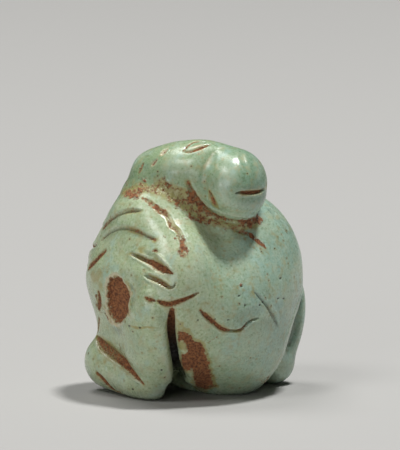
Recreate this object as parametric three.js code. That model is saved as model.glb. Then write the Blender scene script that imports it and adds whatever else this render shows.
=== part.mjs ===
// A turquoise carving of a crouching winged beast, a bixie, that turns its head back over its left shoulder.
// Millimetres, +Z up. The beast faces -X, its left flank is -Y, and it rests on a flat underside at Z = 0.
import * as THREE from "three";

// Driving dimensions
const chestReach = 10; // from the line of the neck forward to the flat of the chest
const rumpReach = 12.3; // and back to the rump
const bodyHalfWidth = 10.6;
const backHeight = 22.1; // underside to the top of the back
const headHeight = 24.1; // underside to the middle of the head
const headLength = 15.4; // nape to snout
const headTurn = -50; // degrees from +X: the snout points back and out over the left flank
const muzzleRadius = 4.2;
const boreRadius = 2.5; // the earth-filled bore in the chest

// Forms of the body: places and half sizes, in the frame the beast is laid out in. A form's blend is the width
// over which its joint with the forms before it is softened.
const trunk = { low: [-chestReach, -7.2, 1.2], high: [6, 7.2, 16], edge: 5, blend: 1 };
const belly = { middle: [1, 0, 5], half: [6, 4.5, 5.3], blend: 1.5 };
const barrel = { middle: [4.2, 0, 12.3], half: [rumpReach - 4.2, 8, backHeight - 12.3], blend: 2.5 };
const mantle = { middle: [-5.7, 0, 17.1], half: [4.7, 6.7, 4.7], blend: 2 };
const breast = { middle: [-7, 0, 12.9], half: [5, 8.1, 5.2], blend: 1.5 };
const flank = { middle: [-0.5, bodyHalfWidth - 6.4, 10], half: [7.8, 6.4, 7.5], blend: 3 };
const shoulder = { middle: [-5.3, 4.5, 12.9], half: [4.4, 5.3, 6.4], blend: 1.6 };
const haunch = { middle: [2.7, 3.3, 7], half: [6.4, 5, 7.4], blend: 1.2 };
const foreleg = { from: [-7, -4.6, 10], fromRadius: 4.4, to: [-7.1, -2.8, 2.3], toRadius: 2.45, blend: 1.2 };
const foldedLeg = { from: [-7.9, 4.6, 3.3], fromRadius: 3.15, to: [-7.8, -1, 1.95], toRadius: 2.1, blend: 0.6 };
const tail = { middle: [10.8, 0, 5.9], half: [2.3, 2.5, 6.3], lean: 16, blend: 0.4 };
const tailRoot = { from: [7.6, 0, 4.4], fromRadius: 3, to: [9.8, 0, 2.3], toRadius: 2.4, blend: 1.5 };
const neck = { middle: [-2.4, 0, 20.2], half: [6.6, 4.7, 4], blend: 2.6 };
const napeLock = { middle: [-6, 3, 21.8], half: [1.4, 1.9, 1.4], blend: 1 };
const nape = new THREE.Vector3(-6.6, 3.8, headHeight);
const underside = [0.81, 0]; // the middle of the finished beast's outline, which becomes the origin

// Forms of the head: the share of its length from the nape, how far above its middle, and half sizes
const backOfHead = { along: 0.19, above: -0.4, half: [2.3, 3, 2.8], blend: 1.2 };
const crown = { along: 0.45, above: 0.15, half: [5.1, 3.9, 3.55], blend: 1.2 };
const forehead = { along: 0.63, above: -0.25, half: [4.3, 3.6, 4.05], blend: 1.2 };
const muzzle = { along: 0.82, above: -1, half: [3.5, muzzleRadius, muzzleRadius - 0.1], blend: 1 };

// Shapes of the cuts. A floor is the share of the width that is level, and over the taper an end runs out.
const line = { width: 0.8, depth: 0.32, floor: 0.15, taper: 0.7 };
const fineLine = { ...line, width: 0.7, depth: 0.2 };
const broadLine = { ...line, width: 0.9, depth: 0.45 };
const collarCut = { ...line, width: 1 };
const boreCut = { width: 2 * boreRadius, depth: 0.7, floor: 0.75, taper: 0 };
const legCut = { width: [1.1, 1.3, 1.4, 1.5, 1.9, 2.6, 3.2], depth: [1.1, 1.6, 1.8, 2, 1.8], floor: 0.45, taper: 1.6 };
const farLegCut = { width: 1.3, depth: 1, floor: 0.3, taper: 1.6 };
const foldedLegCut = { ...line, width: 1.2, depth: 0.8 };
const toeCut = { ...line, depth: 0.5 };
const wornCut = { width: [1.4, 2.7, 2.9, 2.2], depth: 0.3, floor: 0.75, taper: 0.7 };
const tailCut = { width: 1.5, depth: 0.6, floor: 0.2, taper: 1.2 };
const mouthCut = { ...line, width: 0.7, depth: 0.45 };
const underHeadCut = { ...line, width: 1.4, depth: 0.12 };
const cheekHollow = { width: 2.2, depth: 0.22, floor: 0, taper: 1.2 };

// The three-quarter view that the strokes are laid out in: U runs to the right and V up, in millimetres
const viewTurn = THREE.MathUtils.degToRad(-30);
const viewRise = THREE.MathUtils.degToRad(8);

// Strokes on the mantle and shoulders
const mantleBands = [
  [[-10.1, 17.7], [-9.1, 18.7], [-8.3, 19.2], [-7.3, 19.7], [-5.9, 19.5]],
  [[-10.3, 16.4], [-9.5, 17.1], [-7.8, 18], [-6.4, 17.2], [-4, 16.3]],
];
const collarLine = [[-5.3, 20.9], [-3.9, 19.8], [-2.8, 18.4], [-2, 16.9], [-1.4, 15.3]];
const wingLine = [[-6.9, 14.8], [-5.7, 14.1], [-3.8, 13.2], [-2.6, 12.9]];
const farWingOnChest = [[-9.6, 15.4], [-10.6, 14.4], [-11.5, 13.4]];
const farWingOnFlank = [[-3.8, 12], [-2.4, 11.6]];
const featherLines = [
  [[-5.6, 12.9], [-4.4, 12.1], [-2.8, 11.3]],
  [[-5.4, 10.2], [-4.1, 9.9], [-2.4, 9.8], [-1.3, 10], [0.3, 10.8]],
];
const boreMiddle = [[-8.2, 10.1], [-8.3, 9.9]];

// Strokes on the legs, the haunches and the back
const besideForeleg = [[-2.6, 9.2], [-2.65, 6.9], [-2.4, 5.1], [-2.05, 3.1], [-1.75, 1.7], [-1.4, 0.9]];
const aboveFoldedLeg = [[-10.3, 5.4], [-9.9, 5.1], [-8.3, 3.7], [-7, 2.3], [-5.7, 1]];
const toeLine = [[-10.7, 1.9], [-10, 1.2], [-9.3, 0.5], [-8.6, 0.1], [-8.1, -0.1]];
const wornPatch = [[-1.3, 5.9], [-0.2, 4.6], [0.7, 2.9], [1.2, 1.1]];
const haunchLines = [
  [[0.5, 8.9], [1.8, 7.6], [2.9, 6.8], [4.8, 6.8], [5.9, 7.6], [6.8, 8]],
  [[6.4, 10.7], [7.3, 9.7], [8, 8.7], [8.9, 7.1]],
];
const spineLine = [[7.7, 20], [8.9, 18.5], [9.6, 17.7], [10.1, 16.8], [10.8, 14.5]];

// Routes in the frame the beast is laid out in: on under the body behind the forefoot, and down the side of the tail
const behindForefoot = [[-5, -5.6, 0.6], [-4.2, -4, 0], [-3, -2, -0.2], [-1.8, -0.4, -0.2]];
const tailChannel = [[11.8, -1.7, 9.4], [11, -2.5, 6.2], [10.3, -2.3, 2.8]];

// Strokes on the head
const mouthLine = [[4.5, 21.5], [6.3, 21.5], [7, 21.7], [7.4, 21.9]];
const jawLine = [[-0.8, 23.1], [-0.4, 22.4], [0.2, 21], [1.3, 19.9], [3.1, 19.2]];
const underHead = [[-8.1, 21.3], [-6, 21.8], [-3.3, 22.5], [-0.9, 23]];
const cheekLine = [[1.5, 21.4], [1.7, 20.2]];
const behindMuzzle = [[1.8, 26.1], [0.9, 24.6], [0.9, 23.2], [1.4, 21.4]];
const eyeLines = [
  [[-1.5, 26], [-1, 26.5], [-0.2, 26.9], [0.7, 27]],
  [[-1.5, 26], [-0.3, 26], [1.2, 26.4], [1.6, 26.7]],
];
const hairTicks = [
  [[-3.1, 26.4], [-3.8, 25.6]],
  [[-4.3, 25.1], [-4.9, 24.3]],
  [[-5.8, 24.8], [-6.3, 23.7]],
];

// Surface quality
const gridStep = 0.2;
const gridLow = [-13, -13, -gridStep / 2]; // the underside lies halfway between two layers of samples
const gridHigh = [15.5, 13, 29];
const triangleGoal = 9800;

const viewRight = new THREE.Vector3(Math.cos(viewTurn), Math.sin(viewTurn), 0);
const viewBack = new THREE.Vector3(
  Math.sin(viewTurn) * Math.cos(viewRise),
  -Math.cos(viewTurn) * Math.cos(viewRise),
  Math.sin(viewRise),
);
const viewUp = new THREE.Vector3().crossVectors(viewBack, viewRight);
const up = new THREE.Vector3(0, 0, 1);
const headAxis = new THREE.Vector3(1, 0, 0).applyAxisAngle(up, THREE.MathUtils.degToRad(headTurn));
const headSide = new THREE.Vector3(headAxis.y, -headAxis.x, 0); // towards the cheek that shows

// Each form becomes the signed distance to its surface, with its blend.
function ellipsoid({ middle, half, blend, lean = 0, turn = 0 }) {
  const euler = new THREE.Euler(0, THREE.MathUtils.degToRad(lean), THREE.MathUtils.degToRad(turn), "ZYX");
  const m = new THREE.Matrix4().makeRotationFromEuler(euler).transpose().elements;
  const [halfX, halfY, halfZ] = half;
  const distance = (x, y, z) => {
    const dx = x - middle[0];
    const dy = y - middle[1];
    const dz = z - middle[2];
    const a = (m[0] * dx + m[4] * dy + m[8] * dz) / halfX;
    const b = (m[1] * dx + m[5] * dy + m[9] * dz) / halfY;
    const c = (m[2] * dx + m[6] * dy + m[10] * dz) / halfZ;
    const near = Math.sqrt(a * a + b * b + c * c);
    const slope = Math.sqrt((a / halfX) ** 2 + (b / halfY) ** 2 + (c / halfZ) ** 2);
    return slope > 0 ? (near * (near - 1)) / slope : -Math.min(...half);
  };
  return { distance, blend };
}

function roundedBlock({ low, high, edge, blend }) {
  const middle = low.map((value, i) => (value + high[i]) / 2);
  const core = low.map((value, i) => (high[i] - value) / 2 - edge);
  const distance = (x, y, z) => {
    const a = Math.abs(x - middle[0]) - core[0];
    const b = Math.abs(y - middle[1]) - core[1];
    const c = Math.abs(z - middle[2]) - core[2];
    const outside = Math.hypot(Math.max(a, 0), Math.max(b, 0), Math.max(c, 0));
    return outside + Math.min(Math.max(a, b, c), 0) - edge;
  };
  return { distance, blend };
}

function taperedLimb({ from, fromRadius, to, toRadius, blend }) {
  const run = to.map((value, i) => value - from[i]);
  const runSquared = run.reduce((sum, value) => sum + value * value, 0);
  const distance = (x, y, z) => {
    const dx = x - from[0];
    const dy = y - from[1];
    const dz = z - from[2];
    const along = (dx * run[0] + dy * run[1] + dz * run[2]) / runSquared;
    const t = Math.min(Math.max(along, 0), 1);
    const radius = fromRadius + (toRadius - fromRadius) * t;
    return Math.hypot(dx - run[0] * t, dy - run[1] * t, dz - run[2] * t) - radius;
  };
  return { distance, blend };
}

function onBothFlanks({ middle: [x, y, z], ...form }) {
  return [-1, 1].map((side) => ellipsoid({ ...form, middle: [x, side * y, z] }));
}

function onHead({ along, above, ...form }) {
  const place = nape.clone().addScaledVector(headAxis, headLength * along).addScaledVector(up, above);
  return ellipsoid({ ...form, middle: place.toArray(), turn: headTurn });
}

const forms = [
  roundedBlock(trunk),
  ellipsoid(belly),
  ellipsoid(barrel),
  ellipsoid(mantle),
  ellipsoid(breast),
  ...[flank, shoulder, haunch].flatMap(onBothFlanks),
  taperedLimb(foreleg),
  ellipsoid(neck),
  ...[backOfHead, crown, forehead, muzzle].map(onHead),
  ellipsoid(napeLock),
  taperedLimb(foldedLeg),
  taperedLimb(tailRoot),
  ellipsoid(tail),
];

function bodyDistance(x, y, z) {
  let joined = forms[0].distance(x, y, z);
  for (let i = 1; i < forms.length; i++) {
    const next = forms[i].distance(x, y, z);
    const { blend } = forms[i];
    const overlap = Math.max(blend - Math.abs(joined - next), 0);
    joined = Math.min(joined, next) - (overlap * overlap) / (4 * blend);
  }
  return joined;
}

function slopeOf(field, { x, y, z }, step = 0.02) {
  const slope = new THREE.Vector3(
    field(x + step, y, z) - field(x - step, y, z),
    field(x, y + step, z) - field(x, y - step, z),
    field(x, y, z + step) - field(x, y, z - step),
  );
  return slope.divideScalar(2 * step);
}

// Moves a point onto the surface, down the slope of the distance, by no more than a short move at a time.
function settle(point, moves = 4, longestMove = 0.5, leastSlope = 0.05) {
  for (let i = 0; i < moves; i++) {
    const slope = slopeOf(bodyDistance, point);
    const off = bodyDistance(point.x, point.y, point.z) / Math.max(slope.lengthSq(), leastSlope);
    point.addScaledVector(slope, -THREE.MathUtils.clamp(off, -longestMove, longestMove));
  }
  return point;
}

// The place on the surface that the three-quarter view shows at U, V: a point that steps inwards from the viewer.
function inView([u, v], farAway = 25, closeEnough = 1e-3, shareOfGap = 0.7) {
  const point = viewBack.clone().multiplyScalar(farAway).addScaledVector(viewRight, u).addScaledVector(viewUp, v);
  while (point.dot(viewBack) > -farAway) {
    const gap = bodyDistance(point.x, point.y, point.z);
    if (gap < closeEnough) return point;
    point.addScaledVector(viewBack, -Math.max(shareOfGap * gap, 2 * closeEnough));
  }
  throw new Error(`the view shows nothing at ${u}, ${v}`);
}

const onSurface = (route) => route.map((place) => inView(place));
const inSpace = (route) => route.map((place) => new THREE.Vector3(...place));
const acrossFlanks = (point) => point.clone().setY(-point.y);
const acrossHead = (point) => {
  const reach = point.clone().sub(nape).dot(headSide);
  return point.clone().addScaledVector(headSide, -2 * reach);
};

// A value at a share of the way along a list of values, or the one value.
function valueAlong(values, share) {
  const list = [values].flat();
  const place = share * (list.length - 1);
  const before = Math.min(Math.floor(place), list.length - 1);
  const after = Math.min(before + 1, list.length - 1);
  return THREE.MathUtils.lerp(list[before], list[after], place - before);
}

// A cut is a chain of short pieces. Each end holds its place, the way out there, and half the width and the depth.
const cutPieces = [];
const pieceLength = 0.3;
const tipStart = -0.15; // a line's tip is this far past its end, and narrows to the share below
const tipWidth = 0.35;

function cut(points, { width, depth, floor, taper }) {
  const curve = new THREE.CatmullRomCurve3(points, false, "centripetal");
  const length = curve.getLength();
  const count = Math.max(Math.ceil(length / pieceLength), 2);
  const ends = [];
  for (let i = 0; i <= count; i++) {
    const share = i / count;
    const point = settle(curve.getPointAt(share));
    const fromEnd = Math.min(share, 1 - share) * length;
    const strength = taper > 0 ? THREE.MathUtils.smoothstep(fromEnd, tipStart, taper) : 1;
    ends.push({
      place: point.toArray(),
      out: slopeOf(bodyDistance, point).normalize().toArray(),
      half: (valueAlong(width, share) / 2) * THREE.MathUtils.lerp(tipWidth, 1, strength),
      deep: valueAlong(depth, share) * strength,
    });
  }
  for (let i = 0; i < count; i++) {
    cutPieces.push({ a: ends[i], b: ends[i + 1], floor });
  }
}

function stroke(route, shape, mirror) {
  const points = onSurface(route);
  cut(points, shape);
  if (mirror) cut(points.map(mirror), shape);
}

function strokes(routes, shape, mirror) {
  for (const route of routes) {
    stroke(route, shape, mirror);
  }
}

function cutShoulders() {
  strokes(mantleBands, line);
  strokes(featherLines, line, acrossFlanks);
  stroke(collarLine, collarCut, acrossFlanks);
  stroke(wingLine, broadLine);
  cut([...onSurface(farWingOnChest), ...onSurface(farWingOnFlank).map(acrossFlanks)], broadLine);
  stroke(boreMiddle, boreCut);
}

function cutLegs() {
  const besideTail = inSpace(tailChannel);
  const besideLeg = onSurface(besideForeleg);
  cut(besideTail, tailCut);
  cut(besideTail.map(acrossFlanks), tailCut);
  cut([...besideLeg, ...inSpace(behindForefoot)], legCut);
  cut(besideLeg.slice(0, -2).map(acrossFlanks), farLegCut);
  stroke(aboveFoldedLeg, foldedLegCut);
  stroke(toeLine, toeCut);
  stroke(wornPatch, wornCut);
  strokes(haunchLines, line, acrossFlanks);
  stroke(spineLine, fineLine, acrossFlanks);
}

function cutHead() {
  stroke(mouthLine, mouthCut, acrossHead);
  stroke(jawLine, broadLine, acrossHead);
  stroke(underHead, underHeadCut);
  stroke(behindMuzzle, cheekHollow, acrossHead);
  strokes([cheekLine, ...eyeLines, ...hairTicks], line, acrossHead);
}

cutShoulders();
cutLegs();
cutHead();
const deepestCut = Math.max(...cutPieces.map(({ a }) => a.deep));

// The pieces are filed by the cells of space that they reach, so that each sample looks only at those near it.
const cellSize = 1.5;
const cellsEachWay = 64;
const reachBeyond = 0.7;
const cellAt = (value) => Math.floor(value / cellSize) + cellsEachWay;
const cellKey = (i, j, k) => (i * 2 * cellsEachWay + j) * 2 * cellsEachWay + k;
const piecesByCell = new Map();

for (const piece of cutPieces) {
  const { a, b } = piece;
  piece.reach = Math.max(a.deep, b.deep) + Math.max(a.half, b.half) + reachBeyond;
  const low = a.place.map((value, i) => cellAt(Math.min(value, b.place[i]) - piece.reach));
  const high = a.place.map((value, i) => cellAt(Math.max(value, b.place[i]) + piece.reach));
  for (let i = low[0]; i <= high[0]; i++) {
    for (let j = low[1]; j <= high[1]; j++) {
      for (let k = low[2]; k <= high[2]; k++) {
        const key = cellKey(i, j, k);
        if (!piecesByCell.has(key)) piecesByCell.set(key, []);
        piecesByCell.get(key).push(piece);
      }
    }
  }
}

function cutDepth(x, y, z) {
  let deepest = 0;
  for (const { a, b, floor, reach } of piecesByCell.get(cellKey(cellAt(x), cellAt(y), cellAt(z))) ?? []) {
    const [px, py, pz] = a.place;
    const runX = b.place[0] - px;
    const runY = b.place[1] - py;
    const runZ = b.place[2] - pz;
    const along = (x - px) * runX + (y - py) * runY + (z - pz) * runZ;
    const t = Math.min(Math.max(along / (runX ** 2 + runY ** 2 + runZ ** 2), 0), 1);
    const offX = x - px - runX * t;
    const offY = y - py - runY * t;
    const offZ = z - pz - runZ * t;
    const outX = a.out[0] + (b.out[0] - a.out[0]) * t;
    const outY = a.out[1] + (b.out[1] - a.out[1]) * t;
    const outZ = a.out[2] + (b.out[2] - a.out[2]) * t;
    const height = offX * outX + offY * outY + offZ * outZ;
    if (Math.abs(height) > reach) continue;
    const aside = Math.hypot(offX - height * outX, offY - height * outY, offZ - height * outZ);
    const half = a.half + (b.half - a.half) * t;
    const inside = THREE.MathUtils.smoothstep((1 - aside / half) / (1 - floor), 0, 1);
    deepest = Math.max(deepest, inside * (a.deep + (b.deep - a.deep) * t));
  }
  return deepest;
}

const carvedDistance = (x, y, z) => bodyDistance(x, y, z) + cutDepth(x, y, z);

// Samples of the carved distance on a grid, looked at closely only in the blocks that the surface may cross.
// The lowest layer counts as outside, which closes the underside.
function sampleGrid(block = 4, outside = 1) {
  const size = gridLow.map((value, i) => Math.ceil((gridHigh[i] - value) / gridStep) + 1);
  const index = (i, j, k) => (i * size[1] + j) * size[2] + k;
  const values = new Float32Array(size[0] * size[1] * size[2]);
  const halfBlock = (block * gridStep) / 2;
  const place = (i, j, k) => [i, j, k].map((value, axis) => gridLow[axis] + value * gridStep);
  const fill = (low, skip, far) => {
    const high = low.map((value, axis) => Math.min(value + block, size[axis]));
    for (let i = low[0]; i < high[0]; i++) {
      for (let j = low[1]; j < high[1]; j++) {
        for (let k = low[2]; k < high[2]; k++) {
          const value = skip ? far : carvedDistance(...place(i, j, k));
          values[index(i, j, k)] = k === 0 ? Math.max(value, outside) : value;
        }
      }
    }
  };
  for (let i = 0; i < size[0]; i += block) {
    for (let j = 0; j < size[1]; j += block) {
      for (let k = 0; k < size[2]; k += block) {
        const far = bodyDistance(...place(i, j, k).map((value) => value + halfBlock));
        fill([i, j, k], Math.abs(far) > 2 * halfBlock + deepestCut, far);
      }
    }
  }
  return { values, size, index, place };
}

const cellCorners = Array.from({ length: 8 }, (_, a) => [a & 1, (a >> 1) & 1, (a >> 2) & 1]);
const cellEdges = cellCorners.flatMap((_, a) => [1, 2, 4].filter((bit) => !(a & bit)).map((bit) => [a, a | bit]));

// Whether the corners of a cell that a mask names hang together along its edges.
function hangsTogether(mask, passes = 4) {
  let reached = mask & -mask;
  for (let pass = 0; pass < passes; pass++) {
    for (const [a, b] of cellEdges) {
      const both = (1 << a) | (1 << b);
      if ((mask & both) === both && reached & both) reached |= both;
    }
  }
  return reached === mask;
}

const cellFaces = [[1, 2, 4], [2, 4, 1], [4, 1, 2]].flatMap(([p, q, away]) => {
  return [0, away].map((side) => [side, side | p, side | p | q, side | q]);
});

// Whether the corners of one face of a cell are inside and outside by turns.
function isChequered(mask) {
  return cellFaces.some((face) => {
    const [a, b, c, d] = face.map((corner) => (mask >> corner) & 1);
    return a === c && b === d && a !== b;
  });
}

const allCorners = 255;
const oneSheet = Array.from({ length: allCorners + 1 }, (_, mask) => {
  return !isChequered(mask) && hangsTogether(mask) && hangsTogether(allCorners - mask);
});

function eachCell(size, visit) {
  for (let i = 0; i < size[0] - 1; i++) {
    for (let j = 0; j < size[1] - 1; j++) {
      for (let k = 0; k < size[2] - 1; k++) {
        visit(i, j, k);
      }
    }
  }
}

// Where the surface would pass through a cell twice, the nearest sample outside it is taken in.
function clearDoubleCells({ values, size, index }, justInside = -0.02) {
  let changed = 0;
  eachCell(size, (i, j, k) => {
    const places = cellCorners.map(([x, y, z]) => index(i + x, j + y, k + z));
    const mask = places.reduce((sum, place, a) => (values[place] < 0 ? sum | (1 << a) : sum), 0);
    if (oneSheet[mask]) return;
    const free = places.filter((place, a) => values[place] >= 0 && (k > 0 || cellCorners[a][2] === 1));
    const nearest = free.reduce((best, place) => (values[place] < values[best] ? place : best));
    values[nearest] = justInside;
    changed++;
  });
  return changed;
}

// The corner that a cell gets: the middle of the places where its edges cross the surface.
function cornerOfCell({ values, index }, i, j, k) {
  const at = cellCorners.map(([x, y, z]) => values[index(i + x, j + y, k + z)]);
  const crossed = cellEdges.filter(([a, b]) => at[a] < 0 !== at[b] < 0);
  if (!crossed.length) return null;
  const sum = [0, 0, 0];
  for (const [a, b] of crossed) {
    const t = at[a] / (at[a] - at[b]);
    for (let axis = 0; axis < 3; axis++) {
      sum[axis] += cellCorners[a][axis] + (cellCorners[b][axis] - cellCorners[a][axis]) * t;
    }
  }
  return sum.map((value) => value / crossed.length);
}

// Moves a corner of the underside onto its rim, in the plane of the underside.
function settleOnBase(corner, leastSlope = 0.3) {
  corner.z = 0;
  const gap = carvedDistance(corner.x, corner.y, 0);
  const slope = slopeOf(carvedDistance, corner);
  const flat = Math.hypot(slope.x, slope.y);
  if (gap < -gridStep || flat < leastSlope) return corner;
  const back = THREE.MathUtils.clamp(gap / flat, -gridStep / 2, gridStep / 2);
  corner.x -= (slope.x / flat) * back;
  corner.y -= (slope.y / flat) * back;
  return corner;
}

// A closed mesh: one corner in each cell that the surface passes through, and two triangles across each crossed edge.
function meshSurface(mostPasses = 20) {
  const grid = sampleGrid();
  const { values, size, index, place } = grid;
  let passes = 0;
  while (clearDoubleCells(grid) > 0 && passes < mostPasses) {
    passes++;
  }
  const corners = [];
  const cornerAt = new Map();
  eachCell(size, (i, j, k) => {
    const inCell = cornerOfCell(grid, i, j, k);
    if (!inCell) return;
    const corner = new THREE.Vector3(...place(i + inCell[0], j + inCell[1], k + inCell[2]));
    cornerAt.set(index(i, j, k), corners.length);
    corners.push(k === 0 ? settleOnBase(corner) : corner);
  });
  const faces = [];
  const steps = [[1, 0, 0], [0, 1, 0], [0, 0, 1]];
  eachCell(size, (i, j, k) => {
    steps.forEach(([stepX, stepY, stepZ], axis) => {
      const inside = values[index(i, j, k)] < 0;
      if (inside === values[index(i + stepX, j + stepY, k + stepZ)] < 0) return;
      const [p, q] = [steps[(axis + 1) % 3], steps[(axis + 2) % 3]];
      const ring = [[0, 0], [1, 0], [1, 1], [0, 1]].map(([s, t]) =>
        cornerAt.get(index(i - p[0] * s - q[0] * t, j - p[1] * s - q[1] * t, k - p[2] * s - q[2] * t)),
      );
      const [a, b, c, d] = inside ? ring : ring.reverse();
      const firstIsShort = corners[a].distanceTo(corners[c]) < corners[b].distanceTo(corners[d]);
      faces.push(...(firstIsShort ? [a, b, c, a, c, d] : [a, b, d, b, c, d]));
    });
  });
  return { corners, faces };
}

// Fewer triangles: the edges whose loss moves the surface least are drawn together, one after another.
const quadricSize = 10; // the numbers that hold the squared distance to a corner's planes
const lengthCost = 1e-5; // for each square millimetre of an edge, which keeps the triangles even
const flatSystem = 1e-4; // below it the planes of a corner don't fix one best place
const thinnestFace = 0.04; // twice a face's area over its longest side squared
const leastFacing = 0.35; // cosine of the most that a face may turn
const retired = 1e6; // added to the stamp of a corner that is gone

class Simplifier {
  constructor({ corners, faces }) {
    this.corners = corners;
    this.faces = [];
    this.fans = corners.map(() => new Set());
    this.quadrics = new Float64Array(corners.length * quadricSize);
    this.stamps = new Uint32Array(corners.length);
    this.heap = [];
    for (let i = 0; i < faces.length; i += 3) {
      this.addFace([faces[i], faces[i + 1], faces[i + 2]]);
    }
    this.faceCount = this.faces.length;
    for (let a = 0; a < corners.length; a++) {
      for (const b of this.around(a)) {
        if (a < b) this.offer(a, b);
      }
    }
  }

  addFace(face) {
    const [a, b, c] = face.map((i) => this.corners[i]);
    const normal = new THREE.Vector3().crossVectors(b.clone().sub(a), c.clone().sub(a));
    const area = normal.length() / 2;
    normal.normalize();
    const plane = [normal.x, normal.y, normal.z, -normal.dot(a)];
    const products = plane.flatMap((p, i) => plane.slice(i).map((q) => area * p * q));
    for (const corner of face) {
      this.fans[corner].add(this.faces.length);
      products.forEach((product, i) => {
        this.quadrics[corner * quadricSize + i] += product;
      });
    }
    this.faces.push(face);
  }

  around(corner) {
    const found = new Set();
    for (const face of this.fans[corner]) {
      this.faces[face].forEach((i) => found.add(i));
    }
    found.delete(corner);
    return found;
  }

  errorAt(q, { x, y, z }) {
    const squares = q[0] * x * x + q[4] * y * y + q[7] * z * z + q[9];
    return squares + 2 * (q[1] * x * y + q[2] * x * z + q[5] * y * z + q[3] * x + q[6] * y + q[8] * z);
  }

  // The best place for the one corner that replaces two, and what it costs.
  merged(a, b) {
    const q = this.quadrics.slice(a * quadricSize, (a + 1) * quadricSize);
    q.forEach((_, i) => {
      q[i] += this.quadrics[b * quadricSize + i];
    });
    const from = this.corners[a];
    const to = this.corners[b];
    const between = from.clone().lerp(to, 0.5);
    const places = [from.clone(), to.clone(), between];
    const system = new THREE.Matrix3().set(q[0], q[1], q[2], q[1], q[4], q[5], q[2], q[5], q[7]);
    const scale = q[0] + q[4] + q[7];
    if (Math.abs(system.determinant()) > flatSystem * scale ** 3) {
      const best = new THREE.Vector3(-q[3], -q[6], -q[8]).applyMatrix3(system.invert());
      if (best.distanceTo(between) < from.distanceTo(to)) places.push(best);
    }
    const onBase = from.z === 0 && to.z === 0;
    let result = null;
    for (const place of places) {
      if (onBase) place.z = 0;
      const cost = this.errorAt(q, place) + lengthCost * from.distanceToSquared(to);
      if (!result || cost < result.cost) result = { cost, place };
    }
    return result;
  }

  offer(a, b) {
    if ((this.corners[a].z === 0) !== (this.corners[b].z === 0)) return;
    const stamp = this.stamps[a] + this.stamps[b];
    const { cost } = this.merged(a, b);
    const heap = this.heap;
    let i = heap.length;
    heap.push({ cost, a, b, stamp });
    while (i > 0) {
      const parent = (i - 1) >> 1;
      if (heap[parent].cost <= heap[i].cost) break;
      [heap[parent], heap[i]] = [heap[i], heap[parent]];
      i = parent;
    }
  }

  cheapest() {
    const heap = this.heap;
    const top = heap[0];
    const last = heap.pop();
    if (!heap.length) return top;
    heap[0] = last;
    let i = 0;
    let least = 0;
    do {
      [heap[least], heap[i]] = [heap[i], heap[least]];
      i = least;
      for (const child of [2 * i + 1, 2 * i + 2]) {
        if (child < heap.length && heap[child].cost < heap[least].cost) least = child;
      }
    } while (least !== i);
    return top;
  }

  // Whether the faces round a corner keep facing the same way when it moves.
  staysUnfolded(corner, gone, place) {
    for (const face of this.fans[corner]) {
      const ring = this.faces[face];
      if (ring.includes(gone)) continue;
      const before = ring.map((i) => this.corners[i]);
      const after = ring.map((i) => (i === corner ? place : this.corners[i]));
      const [was, is] = [before, after].map(([p, q, r]) =>
        new THREE.Vector3().crossVectors(q.clone().sub(p), r.clone().sub(p)),
      );
      const longest = Math.max(...after.map((p, i) => p.distanceToSquared(after[(i + 1) % 3])));
      if (is.length() < thinnestFace * longest) return false;
      if (was.dot(is) < leastFacing * was.length() * is.length()) return false;
    }
    return true;
  }

  draw(a, b) {
    const ringA = this.around(a);
    const ringB = this.around(b);
    const shared = [...ringA].filter((i) => ringB.has(i));
    if (shared.length !== 2 || shared.some((i) => this.fans[i].size < 4)) return;
    const { place } = this.merged(a, b);
    if (!this.staysUnfolded(a, b, place) || !this.staysUnfolded(b, a, place)) return;
    for (const face of [...this.fans[b]]) {
      const ring = this.faces[face];
      if (ring.includes(a)) {
        ring.forEach((i) => this.fans[i].delete(face));
        this.faces[face] = null;
        this.faceCount--;
      } else {
        ring[ring.indexOf(b)] = a;
        this.fans[a].add(face);
      }
    }
    this.fans[b].clear();
    this.corners[a].copy(place);
    for (let i = 0; i < quadricSize; i++) {
      this.quadrics[a * quadricSize + i] += this.quadrics[b * quadricSize + i];
    }
    this.stamps[a] += 1;
    this.stamps[b] += retired;
    for (const c of this.around(a)) {
      this.offer(a, c);
    }
  }

  run(goal) {
    while (this.faceCount > goal && this.heap.length) {
      const { a, b, stamp } = this.cheapest();
      if (this.stamps[a] + this.stamps[b] === stamp && this.around(a).has(b)) this.draw(a, b);
    }
    const kept = this.faces.filter(Boolean);
    const used = [...new Set(kept.flat())];
    const numbers = new Map(used.map((corner, i) => [corner, i]));
    return { corners: used.map((i) => this.corners[i]), faces: kept.flat().map((i) => numbers.get(i)) };
  }
}

const surface = new Simplifier(meshSurface()).run(triangleGoal);
const geometry = new THREE.BufferGeometry().setFromPoints(surface.corners);
geometry.setIndex(surface.faces);
geometry.translate(-underside[0], -underside[1], 0);
geometry.computeVertexNormals();

const turquoise = new THREE.MeshStandardMaterial({
  color: 0x9bbcaa,
  roughness: 0.35,
  metalness: 0,
});
const carving = new THREE.Mesh(geometry, turquoise);
carving.name = "carving";

const beast = new THREE.Group();
beast.add(carving);
export default beast;
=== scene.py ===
import math
import bpy
import numpy as np
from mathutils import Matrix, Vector, noise
from mathutils.bvhtree import BVHTree


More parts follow.
